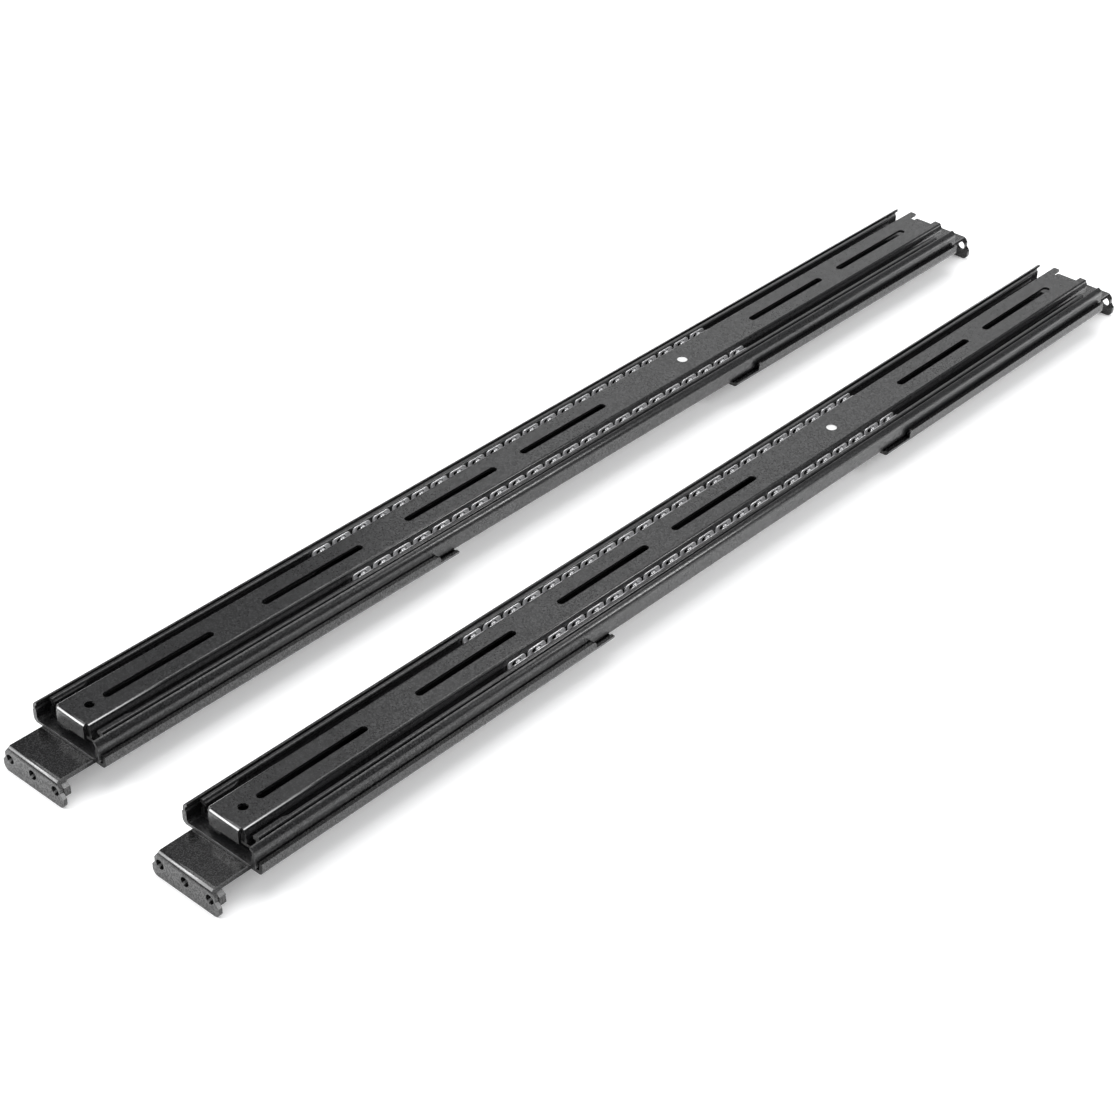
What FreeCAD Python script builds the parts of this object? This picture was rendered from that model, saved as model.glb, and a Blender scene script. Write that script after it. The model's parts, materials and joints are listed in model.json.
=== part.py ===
import FreeCAD
import Part
import itertools
import math
import os

# A pair of three-section ball-bearing rails for a rack-mounted server.
#
# Each rail is a telescopic slide lying on its side: an outer member, a middle member and an
# inner member nest in each other, with a row of balls in a retainer along both sides of each
# pair.  A sheet bracket wraps the outer member from below at each end.  Its flange bolts to a
# rack post, and two clamp studs let it slide to suit the depth of the rack.
#
# Millimetres.  X runs across the rails, Y along them from front to back, +Z up.  The origin is
# on the surface that the flanges stand on, halfway between the two rails and their two ends.

# ---- Driving dimensions ------------------------------------------------------------------

RAIL_PITCH = 102.0            # centre line to centre line of the two rails as they stand
SLIDE_LENGTH = 655.0          # outer member, end to end

WEB_HEIGHT = 14.3             # floor to the seat of the outer member
SEAT_GAP = 0.3                # clearance of a ball, or of a retainer, to what runs past it
LOOSE_GAP = 0.7               # clearance between sheet faces that only pass each other

# Outer member
OUTER_HALF_WIDTH = 22.75
OUTER_SHEET = 1.6
OUTER_CORNER_RADIUS = 2.4
OUTER_HEIGHT = 12.2
OUTER_RACE_ANGLE = 45.0       # how far the race wraps below the ball, degrees
LIP_REACH = 0.55              # lip edge, outside the centre of the outer balls

# Middle member
MIDDLE_SHEET = 1.6
MIDDLE_HALF_WIDTH = 18.75
MIDDLE_WALL = 2.55
MIDDLE_CORNER_RADIUS = 2.0
MIDDLE_LIP_RADIUS = 0.9
MIDDLE_FRONT_SETBACK = 6.5    # behind the front of the outer member
MIDDLE_REAR_SETBACK = 14.0    # ahead of its rear end

# Inner member
INNER_LENGTH = 652.5          # front edge to the tips of the rear fork
INNER_SHEET = 1.5
INNER_HALF_WIDTH = 11.5
INNER_RISE = 1.2              # top face above the lips of the outer member
INNER_EDGE_RADIUS = 1.3
INNER_LEG_DROP = 2.0          # leg below the race, down to its edge
INNER_RACE_ANGLE = 30.0       # half of the arc that the inner race covers, degrees
INNER_FRONT_SETBACK = 3.0     # behind the front of the outer member
TAB_HALF_WIDTH = 9.4
TAB_DROP = 8.0                # bent-down front edge, below the top face
TAB_BEND_RADIUS = 2.0
PRONG_LENGTH = 7.0            # rear fork, from the cut-back web to the tips
PRONG_NOTCH_HALF_WIDTH = 7.0
PRONG_CORNER_RADIUS = 2.0

# Inner member's mounting slots and front hole, from the front of the outer member
SLOT_WIDTH = 4.2
SLOT_LENGTH = 65.0
SLOT_CENTRES = (55.0, 151.0, 246.0, 330.0, 519.0, 600.0)
FRONT_HOLE_PLACE = 14.5
FRONT_HOLE_RADIUS = 2.45
LATCH_PLACE = 427.0
RIVET_HEAD_RADIUS = 2.9
RIVET_HEAD_SINK = 0.1         # head below the top face that it fills the hole of
RIVET_TAIL_HEIGHT = 0.5
RIVET_SHANK_RADIUS = 1.6
LATCH_LENGTH = 58.0
LATCH_HALF_WIDTH = 6.0
LATCH_SHEET = 0.8

# Balls and retainers
OUTER_BALL_RADIUS = 1.5875
INNER_BALL_RADIUS = 1.984
INNER_BALL_HEIGHT = 9.4       # ball centre above the seat of the outer member
INNER_GROOVE_DEPTH = 0.35     # how deep the race is sunk in the middle member's wall
RETAINER_SHEET = 0.5
RETAINER_PITCH = 13.7
POCKET_COUNT = 22
POCKET_GAP = 2.8
RETAINER_START = 164.0        # front of the retainers, behind the front of the outer member
RETAINER_TOP_DROP = 0.6       # rim of the inner retainer, below the lips
BALL_WINDOW_GAP = 0.1
OUTER_RETAINER_BALLS = 7
OUTER_RETAINER_LENGTH = 300.0
OUTER_RETAINER_HEIGHT = 4.4

# Crimped stops at the front of the middle member hold the inner retainer in
CRIMP_LENGTH = 16.0
CRIMP_TAPER = 4.0
CRIMP_REACH = 1.3
CRIMP_DEPTH = 1.6

# Brackets
BRACKET_SHEET = 2.0
BRACKET_SIDE_GAP = 0.65
BRACKET_CORNER_RADIUS = 2.6
BRACKET_WALL_RISE = 4.6       # side wall above the seat of the outer member
BRACKET_WALL_SETBACK = 1.5    # end of the wall, inside the end of the outer member
FRONT_WALL_LENGTH = 211.0
REAR_WALL_LENGTH = 190.0
TONGUE_RISE = 0.8             # low tongue above the seat
FRONT_TONGUE_LENGTH = 13.0
REAR_TONGUE_LENGTH = 19.0
WALL_END_RADIUS = 2.4
FLANGE_REACH = 20.0           # outside face of the flange, beyond the end of the outer member
PLATE_HALF_WIDTH = 17.4
FLANGE_BEND_RADIUS = 2.5
FLANGE_HALF_WIDTH = 21.2
FLANGE_CORNER_RADIUS = 3.2
FLANGE_SHOULDER_HEIGHT = 10.6
FLANGE_WAIST_HALF_WIDTH = 19.3
FLANGE_EAR_HEIGHT = 5.6

# Rack holes: three in a row at the standard vertical pitch of a rack post
RACK_HOLE_PITCH = 15.875
RACK_HOLE_HEIGHT = 7.9
REAR_HOLE_RADIUS = 2.7
NUT_THREAD_RADIUS = 2.5
WELD_NUT_HEX = 8.0
WELD_NUT_LENGTH = 3.5

# Clamps: two studs in the outer member for each bracket
STUD_RADIUS = 2.5
STUD_FIRST_PLACE = 20.0       # from the end of the outer member
STUD_SPACING = 45.0
STUD_TIP = 0.9                # stud beyond its nut
CLAMP_SLOT_GAP = 0.3
FRONT_ADJUST = 100.0
REAR_ADJUST = 80.0
CLAMP_NUT_HEX = 8.0
CLAMP_NUT_HEIGHT = 4.7
THREAD_GAP = 0.03             # pressed or threaded parts, on the radius

# Access windows in the web of the middle member
WINDOW_HALF_WIDTH = 5.0
WINDOW_LENGTH = 30.0
WINDOW_PLACES = (110.0, 250.0, 390.0, 530.0)

# Small hardware that repeats is drawn with flat sides
ROD_SIDES = 12
HEAD_SIDES = 16

# ---- Derived places ------------------------------------------------------------------------

FRONT = -SLIDE_LENGTH / 2
REAR = SLIDE_LENGTH / 2
SEAT = WEB_HEIGHT
LIP_TOP = OUTER_HEIGHT
INNER_TOP = LIP_TOP + INNER_RISE

OUTER_RACE_RADIUS = OUTER_BALL_RADIUS + SEAT_GAP
OUTER_LIP_RADIUS = OUTER_RACE_RADIUS + OUTER_SHEET
OUTER_BALL_X = OUTER_HALF_WIDTH - OUTER_LIP_RADIUS
OUTER_BALL_Z = OUTER_HEIGHT - OUTER_LIP_RADIUS

MIDDLE_BOTTOM = OUTER_SHEET + LOOSE_GAP
MIDDLE_TOP_OF_WEB = MIDDLE_BOTTOM + MIDDLE_SHEET
MIDDLE_INNER_FACE = MIDDLE_HALF_WIDTH - MIDDLE_WALL
MIDDLE_FRONT = FRONT + MIDDLE_FRONT_SETBACK
MIDDLE_REAR = REAR - MIDDLE_REAR_SETBACK

INNER_RACE_RADIUS = INNER_BALL_RADIUS + SEAT_GAP
INNER_BALL_X = MIDDLE_INNER_FACE + INNER_GROOVE_DEPTH - INNER_RACE_RADIUS
INNER_BALL_Z = INNER_BALL_HEIGHT
INNER_FRONT = FRONT + INNER_FRONT_SETBACK
INNER_REAR = INNER_FRONT + INNER_LENGTH

BRACKET_INNER_FACE = OUTER_HALF_WIDTH + BRACKET_SIDE_GAP
BRACKET_HALF_WIDTH = BRACKET_INNER_FACE + BRACKET_SHEET
BRACKET_BOTTOM = SEAT - BRACKET_SHEET

RETAINER_FRONT = FRONT + RETAINER_START
RETAINER_HALF_WIDTH = MIDDLE_INNER_FACE - INNER_BALL_X - SEAT_GAP

SIDES = (-1, 1)


# ---- Small helpers -------------------------------------------------------------------------

def point(x, z):
    """A point of a cross-section, which lies in the XZ plane."""
    return FreeCAD.Vector(x, 0, z)


def polar(cx, cz, radius, angle):
    """The point at an angle, in degrees, on a circle of a cross-section."""
    turn = math.radians(angle)
    return point(cx + radius * math.cos(turn), cz + radius * math.sin(turn))


class Outline:
    """Half of a symmetric cross-section, drawn as one run of lines and arcs."""

    def __init__(self, start):
        self.end = start
        self.edges = []

    def line(self, target):
        if self.end.distanceToPoint(target) > 1e-6:
            self.edges.append(Part.LineSegment(self.end, target).toShape())
            self.end = target
        return self

    def arc(self, cx, cz, radius, first, last):
        """Joins the run to an arc about (cx, cz) and follows it from first to last."""
        self.line(polar(cx, cz, radius, first))
        middle = polar(cx, cz, radius, (first + last) / 2)
        target = polar(cx, cz, radius, last)
        self.edges.append(Part.Arc(self.end, middle, target).toShape())
        self.end = target
        return self

    def mirrored_face(self):
        """The closed face of this half and its mirror image about X = 0."""
        half = Part.Compound(self.edges)
        other = half.mirror(FreeCAD.Vector(0, 0, 0), FreeCAD.Vector(1, 0, 0))
        wire = Part.Wire(Part.__sortEdges__(self.edges + other.Edges))
        return Part.Face(wire)


def extruded(face, front, rear):
    """A section swept straight from front to rear."""
    solid = face.extrude(FreeCAD.Vector(0, rear - front, 0))
    solid.translate(FreeCAD.Vector(0, front, 0))
    return solid


def box(x0, x1, y0, y1, z0, z1):
    return Part.makeBox(x1 - x0, y1 - y0, z1 - z0, FreeCAD.Vector(x0, y0, z0))


def upright_cylinder(x, y, z0, z1, radius):
    return Part.makeCylinder(radius, z1 - z0, FreeCAD.Vector(x, y, z0))


def prism(x, y, z0, z1, radius, sides):
    """An upright rod with flat sides, whose corners lie at the radius."""
    turns = [2 * math.pi * i / sides for i in range(sides + 1)]
    ring = [FreeCAD.Vector(x + radius * math.cos(a), y + radius * math.sin(a), z0) for a in turns]
    return Part.Face(Part.makePolygon(ring)).extrude(FreeCAD.Vector(0, 0, z1 - z0))


def obround(y, length, half_width, z0, z1):
    """A slot cutter with round ends, centred on the rail and running along it."""
    straight = length / 2 - half_width
    body = box(-half_width, half_width, y - straight, y + straight, z0, z1)
    ends = [upright_cylinder(0, y + side * straight, z0, z1, half_width) for side in SIDES]
    return body.fuse(ends)


def rod_slot(first, last, radius, z0, z1):
    """A slot cutter for a flat-sided rod that stands anywhere from first to last."""
    body = box(-radius, radius, first, last, z0, z1)
    return body.fuse([prism(0, y, z0, z1, radius, ROD_SIDES) for y in (first, last)])


def rounded_upright(shape, radius, places):
    """Rounds the upright edges that pass within reach of the given (x, y) places."""
    chosen = []
    for edge in shape.Edges:
        start, end = edge.Vertexes[0].Point, edge.Vertexes[-1].Point
        upright = abs(start.x - end.x) < 1e-6 and abs(start.y - end.y) < 1e-6
        if upright and any(math.hypot(start.x - x, start.y - y) < 1e-3 for x, y in places):
            chosen.append(edge)
    return shape.makeFillet(radius, chosen)


# ---- Outer member --------------------------------------------------------------------------

def outer_section():
    """C-section with its lips curled over the balls."""
    lip_angle = math.degrees(math.acos(LIP_REACH / OUTER_LIP_RADIUS))
    edge_angle = math.degrees(math.acos(LIP_REACH / OUTER_RACE_RADIUS))
    shoulder = polar(OUTER_BALL_X, OUTER_BALL_Z, OUTER_RACE_RADIUS, -OUTER_RACE_ANGLE)
    corner = OUTER_CORNER_RADIUS
    inside = corner / 2
    half = Outline(point(0, 0))
    half.arc(OUTER_HALF_WIDTH - corner, corner, corner, -90, 0)
    half.arc(OUTER_BALL_X, OUTER_BALL_Z, OUTER_LIP_RADIUS, 0, lip_angle)
    half.arc(OUTER_BALL_X, OUTER_BALL_Z, OUTER_RACE_RADIUS, edge_angle, -OUTER_RACE_ANGLE)
    half.line(point(shoulder.x, OUTER_SHEET + inside))
    half.line(point(shoulder.x - inside, OUTER_SHEET))
    half.line(point(0, OUTER_SHEET))
    return half.mirrored_face()


def stud_places():
    """Where the clamp studs stand along the outer member: the front pair, then the rear."""
    front = [FRONT + STUD_FIRST_PLACE + i * STUD_SPACING for i in range(2)]
    rear = [-place for place in front]
    return front, rear


def outer_member():
    member = extruded(outer_section(), FRONT, REAR)
    front, rear = stud_places()
    for y in front + rear:
        member = member.cut(
            prism(0, y, -1, OUTER_SHEET + 1, STUD_RADIUS + THREAD_GAP, ROD_SIDES))
    return member


# ---- Middle member -------------------------------------------------------------------------

def middle_section():
    """Channel with thick walls that carry a race on both of their faces."""
    outer_half = math.degrees(math.acos((OUTER_BALL_X - MIDDLE_HALF_WIDTH) / OUTER_RACE_RADIUS))
    inner_half = math.degrees(math.acos((MIDDLE_INNER_FACE - INNER_BALL_X) / INNER_RACE_RADIUS))
    corner = MIDDLE_CORNER_RADIUS
    inside = corner / 2
    lip = MIDDLE_LIP_RADIUS
    half = Outline(point(0, MIDDLE_BOTTOM))
    half.arc(MIDDLE_HALF_WIDTH - corner, MIDDLE_BOTTOM + corner, corner, -90, 0)
    half.arc(OUTER_BALL_X, OUTER_BALL_Z, OUTER_RACE_RADIUS, 180 + outer_half, 180 - outer_half)
    half.arc(MIDDLE_HALF_WIDTH - lip, LIP_TOP - lip, lip, 0, 90)
    half.arc(MIDDLE_INNER_FACE + lip, LIP_TOP - lip, lip, 90, 180)
    half.arc(INNER_BALL_X, INNER_BALL_Z, INNER_RACE_RADIUS, inner_half, -inner_half)
    half.line(point(MIDDLE_INNER_FACE, MIDDLE_TOP_OF_WEB + inside))
    half.line(point(MIDDLE_INNER_FACE - inside, MIDDLE_TOP_OF_WEB))
    half.line(point(0, MIDDLE_TOP_OF_WEB))
    return half.mirrored_face()


def crimp(side):
    """A stop pressed in from the lip, with a sloping rear end."""
    face = side * MIDDLE_INNER_FACE
    tip = side * (MIDDLE_INNER_FACE - CRIMP_REACH)
    back = MIDDLE_FRONT + CRIMP_LENGTH
    corners = [
        FreeCAD.Vector(face, MIDDLE_FRONT, 0),
        FreeCAD.Vector(tip, MIDDLE_FRONT, 0),
        FreeCAD.Vector(tip, back, 0),
        FreeCAD.Vector(face, back + CRIMP_TAPER, 0),
    ]
    wedge = Part.Face(Part.makePolygon(corners + corners[:1]))
    wedge = wedge.extrude(FreeCAD.Vector(0, 0, CRIMP_DEPTH))
    wedge.translate(FreeCAD.Vector(0, 0, LIP_TOP - MIDDLE_LIP_RADIUS - CRIMP_DEPTH))
    return wedge


def middle_member():
    member = extruded(middle_section(), MIDDLE_FRONT, MIDDLE_REAR)
    for side in SIDES:
        member = member.fuse(crimp(side))
    for place in WINDOW_PLACES:
        member = member.cut(box(
            -WINDOW_HALF_WIDTH, WINDOW_HALF_WIDTH,
            FRONT + place - WINDOW_LENGTH / 2, FRONT + place + WINDOW_LENGTH / 2,
            MIDDLE_BOTTOM - 1, MIDDLE_TOP_OF_WEB + 1))
    return member.removeSplitter()


# ---- Inner member --------------------------------------------------------------------------

def inner_section():
    """Channel that opens down, with a race in each leg."""
    top = INNER_TOP
    edge = INNER_EDGE_RADIUS
    race_start = 180 - INNER_RACE_ANGLE
    race_end = 180 + INNER_RACE_ANGLE
    outside = INNER_RACE_RADIUS + INNER_SHEET
    foot = polar(INNER_BALL_X, INNER_BALL_Z, INNER_RACE_RADIUS, race_end)
    back = polar(INNER_BALL_X, INNER_BALL_Z, outside, 180)
    half = Outline(point(0, top))
    half.arc(INNER_HALF_WIDTH - edge, top - edge, edge, 90, 0)
    half.arc(INNER_BALL_X, INNER_BALL_Z, INNER_RACE_RADIUS, race_start, race_end)
    half.line(point(foot.x, foot.z - INNER_LEG_DROP))
    half.line(point(foot.x - INNER_SHEET, foot.z - INNER_LEG_DROP))
    half.line(point(foot.x - INNER_SHEET, foot.z))
    half.line(point(back.x, back.z))
    half.line(point(INNER_HALF_WIDTH - INNER_SHEET, top - 2 * INNER_SHEET))
    half.line(point(INNER_HALF_WIDTH - 2 * INNER_SHEET, top - INNER_SHEET))
    half.line(point(0, top - INNER_SHEET))
    return half.mirrored_face()


def front_tab():
    """The front edge of the web, bent down between the legs."""
    top = INNER_TOP
    bend = TAB_BEND_RADIUS
    start = INNER_FRONT + bend
    inside = bend - INNER_SHEET
    profile = [
        Part.LineSegment(
            FreeCAD.Vector(0, start + 1, top), FreeCAD.Vector(0, start, top)).toShape(),
        Part.Arc(
            FreeCAD.Vector(0, start, top),
            FreeCAD.Vector(0, start - bend * math.sin(math.pi / 4),
                           top - bend * (1 - math.cos(math.pi / 4))),
            FreeCAD.Vector(0, start - bend, top - bend)).toShape(),
        Part.makePolygon([
            FreeCAD.Vector(0, start - bend, top - bend),
            FreeCAD.Vector(0, start - bend, top - TAB_DROP),
            FreeCAD.Vector(0, start - inside, top - TAB_DROP),
            FreeCAD.Vector(0, start - inside, top - bend),
            FreeCAD.Vector(0, start, top - INNER_SHEET),
            FreeCAD.Vector(0, start + 1, top - INNER_SHEET),
            FreeCAD.Vector(0, start + 1, top)]),
    ]
    edges = profile[:2] + profile[2].Edges
    face = Part.Face(Part.Wire(Part.__sortEdges__(edges)))
    tab = face.extrude(FreeCAD.Vector(2 * TAB_HALF_WIDTH, 0, 0))
    tab.translate(FreeCAD.Vector(-TAB_HALF_WIDTH, 0, 0))
    return tab


def inner_member():
    top = INNER_TOP
    member = extruded(inner_section(), INNER_FRONT + TAB_BEND_RADIUS, INNER_REAR)
    member = member.fuse(front_tab())
    notch = box(
        -PRONG_NOTCH_HALF_WIDTH, PRONG_NOTCH_HALF_WIDTH,
        INNER_REAR - PRONG_LENGTH, INNER_REAR + PRONG_LENGTH,
        top - 2 * INNER_SHEET, top + 1)
    corners = [(side * PRONG_NOTCH_HALF_WIDTH, INNER_REAR - PRONG_LENGTH) for side in SIDES]
    member = member.cut(rounded_upright(notch, PRONG_CORNER_RADIUS, corners))
    low, high = top - INNER_SHEET - 0.2, top + 1
    for place in SLOT_CENTRES:
        member = member.cut(obround(FRONT + place, SLOT_LENGTH, SLOT_WIDTH / 2, low, high))
    member = member.cut(
        upright_cylinder(0, FRONT + FRONT_HOLE_PLACE, low, high, FRONT_HOLE_RADIUS))
    member = member.cut(prism(
        0, FRONT + LATCH_PLACE, low, high, RIVET_HEAD_RADIUS + THREAD_GAP, HEAD_SIDES))
    return member.removeSplitter()


def latch_rivet():
    """Bright rivet, flush in the web of the inner member, that carries the leaf spring."""
    y = FRONT + LATCH_PLACE
    under = INNER_TOP - INNER_SHEET
    tail = under - LATCH_SHEET
    end = tail - RIVET_TAIL_HEIGHT
    head = prism(0, y, under, INNER_TOP - RIVET_HEAD_SINK, RIVET_HEAD_RADIUS, HEAD_SIDES)
    shank = prism(0, y, end, under + INNER_SHEET / 2, RIVET_SHANK_RADIUS, ROD_SIDES)
    tail_head = prism(0, y, end, tail, RIVET_HEAD_RADIUS, ROD_SIDES)
    return head.fuse([shank, tail_head]).removeSplitter()


def latch_spring():
    """Leaf spring held under the web by the rivet, with a detent turned down at its end."""
    y = FRONT + LATCH_PLACE
    under = INNER_TOP - INNER_SHEET
    leaf = box(
        -LATCH_HALF_WIDTH, LATCH_HALF_WIDTH,
        y - LATCH_HALF_WIDTH, y - LATCH_HALF_WIDTH + LATCH_LENGTH,
        under - LATCH_SHEET, under)
    end = y - LATCH_HALF_WIDTH + LATCH_LENGTH
    detent = box(
        -LATCH_HALF_WIDTH / 2, LATCH_HALF_WIDTH / 2, end - LATCH_SHEET, end,
        MIDDLE_TOP_OF_WEB + LOOSE_GAP, under)
    spring = leaf.fuse(detent)
    hole = prism(
        0, y, under - 2 * LATCH_SHEET, under + 1, RIVET_SHANK_RADIUS + THREAD_GAP, ROD_SIDES)
    return spring.cut(hole).removeSplitter()


# ---- Balls and retainers -------------------------------------------------------------------

def ball(x, y, z, radius):
    """A ball as the twenty-sided solid whose corners lie on it."""
    golden = (1 + math.sqrt(5)) / 2
    scale = radius / math.hypot(1, golden)
    corners = []
    for a in SIDES:
        for b in SIDES:
            corners.append(FreeCAD.Vector(0, a, b * golden) * scale)
            corners.append(FreeCAD.Vector(a, b * golden, 0) * scale)
            corners.append(FreeCAD.Vector(b * golden, 0, a) * scale)
    longest = 2 * scale * 1.01
    faces = []
    for p, q, r in itertools.combinations(corners, 3):
        if max(p.distanceToPoint(q), q.distanceToPoint(r), r.distanceToPoint(p)) < longest:
            faces.append(Part.Face(Part.makePolygon([p, q, r, p])))
    solid = Part.Solid(Part.Shell(faces))
    solid.translate(FreeCAD.Vector(x, y, z))
    return solid


def inner_ball_places():
    return [RETAINER_FRONT + RETAINER_PITCH * (i + 0.5) for i in range(POCKET_COUNT)]


def outer_ball_places():
    pitch = OUTER_RETAINER_LENGTH / OUTER_RETAINER_BALLS
    return [RETAINER_FRONT + pitch * (i + 0.5) for i in range(OUTER_RETAINER_BALLS)]


def inner_retainer(side):
    """A strip with a seat for each ball, open to both races, and a gap between seats."""
    rear = RETAINER_FRONT + RETAINER_PITCH * POCKET_COUNT
    floor = INNER_BALL_Z - INNER_BALL_RADIUS - BALL_WINDOW_GAP
    rim = LIP_TOP - RETAINER_TOP_DROP
    window = INNER_BALL_RADIUS + BALL_WINDOW_GAP
    x0 = side * INNER_BALL_X - RETAINER_HALF_WIDTH
    x1 = side * INNER_BALL_X + RETAINER_HALF_WIDTH
    strip = box(x0, x1, RETAINER_FRONT, rear, floor - RETAINER_SHEET, rim)
    cuts = []
    for i, y in enumerate(inner_ball_places()):
        cuts.append(box(x0 - 1, x1 + 1, y - window, y + window, floor, rim + 1))
        if i:
            gap = y - RETAINER_PITCH / 2
            cuts.append(box(
                x0 - 1, x1 + 1, gap - POCKET_GAP / 2, gap + POCKET_GAP / 2, floor, rim + 1))
    return strip.cut(Part.Compound(cuts))


def outer_retainer(side):
    """A flat strip on edge, with a window for each ball."""
    window = OUTER_BALL_RADIUS + BALL_WINDOW_GAP
    near = MIDDLE_HALF_WIDTH + SEAT_GAP
    x0, x1 = sorted((side * near, side * (near + RETAINER_SHEET)))
    low = OUTER_BALL_Z - OUTER_RETAINER_HEIGHT / 2
    high = OUTER_BALL_Z + OUTER_BALL_RADIUS - BALL_WINDOW_GAP
    strip = box(
        x0, x1, RETAINER_FRONT, RETAINER_FRONT + OUTER_RETAINER_LENGTH, low, high)
    cuts = [box(x0 - 1, x1 + 1, y - window, y + window, OUTER_BALL_Z - window, high + 1)
            for y in outer_ball_places()]
    return strip.cut(Part.Compound(cuts))


def ball_rows(x, z, radius, places):
    return Part.Compound([ball(side * x, y, z, radius) for side in SIDES for y in places])


# ---- Brackets ------------------------------------------------------------------------------

def bracket_section():
    """Channel under and beside the outer member, drawn with its seat at Z = 0."""
    corner = BRACKET_CORNER_RADIUS
    inside = corner - BRACKET_SHEET
    half = Outline(point(0, -BRACKET_SHEET))
    half.arc(BRACKET_HALF_WIDTH - corner, corner - BRACKET_SHEET, corner, -90, 0)
    half.line(point(BRACKET_HALF_WIDTH, BRACKET_WALL_RISE))
    half.line(point(BRACKET_INNER_FACE, BRACKET_WALL_RISE))
    half.line(point(BRACKET_INNER_FACE, inside))
    half.line(point(BRACKET_INNER_FACE - inside, 0))
    half.line(point(0, 0))
    return half.mirrored_face()


def flange_outline():
    """Flange seen from the end of the rail: a waist at the bend, ears and round corners."""
    corner = FLANGE_CORNER_RADIUS
    half = Outline(point(0, 0))
    half.arc(FLANGE_HALF_WIDTH - corner, corner, corner, -90, 0)
    half.line(point(FLANGE_HALF_WIDTH, FLANGE_EAR_HEIGHT))
    half.line(point(FLANGE_WAIST_HALF_WIDTH, RACK_HOLE_HEIGHT))
    half.line(point(FLANGE_WAIST_HALF_WIDTH, FLANGE_SHOULDER_HEIGHT))
    half.line(point(PLATE_HALF_WIDTH, WEB_HEIGHT - BRACKET_SHEET / 2))
    half.line(point(PLATE_HALF_WIDTH, WEB_HEIGHT + 1))
    half.line(point(0, WEB_HEIGHT + 1))
    return half.mirrored_face()


def plate_and_flange(hole_radius, inner_end):
    """Plate beyond the rail and its flange, bent from one sheet, flange towards -Y."""
    face_y = FRONT - FLANGE_REACH
    bend = FLANGE_BEND_RADIUS
    inside = bend - BRACKET_SHEET
    top = WEB_HEIGHT
    slope = math.sin(math.pi / 4)
    bent = [
        Part.Arc(
            FreeCAD.Vector(0, face_y, top - bend),
            FreeCAD.Vector(0, face_y + bend * (1 - slope), top - bend * (1 - slope)),
            FreeCAD.Vector(0, face_y + bend, top)).toShape(),
        Part.Arc(
            FreeCAD.Vector(0, face_y + BRACKET_SHEET, top - bend),
            FreeCAD.Vector(0, face_y + bend - inside * slope, top - bend + inside * slope),
            FreeCAD.Vector(0, face_y + bend, top - BRACKET_SHEET)).toShape(),
    ]
    straight = [
        (face_y + bend, top, inner_end, top),
        (inner_end, top, inner_end, top - BRACKET_SHEET),
        (inner_end, top - BRACKET_SHEET, face_y + bend, top - BRACKET_SHEET),
        (face_y + BRACKET_SHEET, top - bend, face_y + BRACKET_SHEET, 0),
        (face_y + BRACKET_SHEET, 0, face_y, 0),
        (face_y, 0, face_y, top - bend),
    ]
    for y0, z0, y1, z1 in straight:
        bent.append(Part.LineSegment(
            FreeCAD.Vector(0, y0, z0), FreeCAD.Vector(0, y1, z1)).toShape())
    face = Part.Face(Part.Wire(Part.__sortEdges__(bent)))
    sheet = face.extrude(FreeCAD.Vector(2 * BRACKET_HALF_WIDTH, 0, 0))
    sheet.translate(FreeCAD.Vector(-BRACKET_HALF_WIDTH, 0, 0))
    sheet = sheet.common(extruded(flange_outline(), face_y - 1, inner_end + 1))
    for i in (-1, 0, 1):
        hole = Part.makeCylinder(
            hole_radius, 2 * BRACKET_SHEET,
            FreeCAD.Vector(i * RACK_HOLE_PITCH, face_y - BRACKET_SHEET / 2, RACK_HOLE_HEIGHT),
            FreeCAD.Vector(0, 1, 0))
        sheet = sheet.cut(hole)
    return sheet


def bracket(wall_length, tongue_length, adjust, hole_radius):
    """The bracket of the front end."""
    start = FRONT + BRACKET_WALL_SETBACK
    wall_end = start + wall_length
    end = wall_end + tongue_length
    channel = extruded(bracket_section(), start, end)
    above = BRACKET_WALL_RISE + 1
    step = box(
        -BRACKET_HALF_WIDTH - 1, BRACKET_HALF_WIDTH + 1, wall_end, end + 1, TONGUE_RISE, above)
    channel = channel.cut(step)
    channel = rounded_wall_ends(channel, wall_end)
    channel.translate(FreeCAD.Vector(0, 0, SEAT))
    whole = channel.fuse(plate_and_flange(hole_radius, start + BRACKET_SHEET)).removeSplitter()
    studs = stud_places()[0]
    slot = rod_slot(
        studs[0] - CLAMP_SLOT_GAP, studs[1] + adjust + CLAMP_SLOT_GAP,
        STUD_RADIUS + CLAMP_SLOT_GAP, BRACKET_BOTTOM - 1, SEAT + 1)
    return whole.cut(slot)


def rounded_wall_ends(channel, wall_end):
    """Rounds the top corners of both side walls where they stop beside the rail."""
    chosen = []
    for edge in channel.Edges:
        a, b = edge.Vertexes[0].Point, edge.Vertexes[-1].Point
        across = abs(a.y - b.y) < 1e-6 and abs(a.z - b.z) < 1e-6
        if across and abs(a.y - wall_end) < 1e-6 and abs(a.z - BRACKET_WALL_RISE) < 1e-6:
            chosen.append(edge)
    return channel.makeFillet(WALL_END_RADIUS, chosen)


def turned_end_for_end(shape):
    """The same piece at the rear end: mirrored front to back."""
    return shape.mirror(FreeCAD.Vector(0, 0, 0), FreeCAD.Vector(0, 1, 0))


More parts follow.
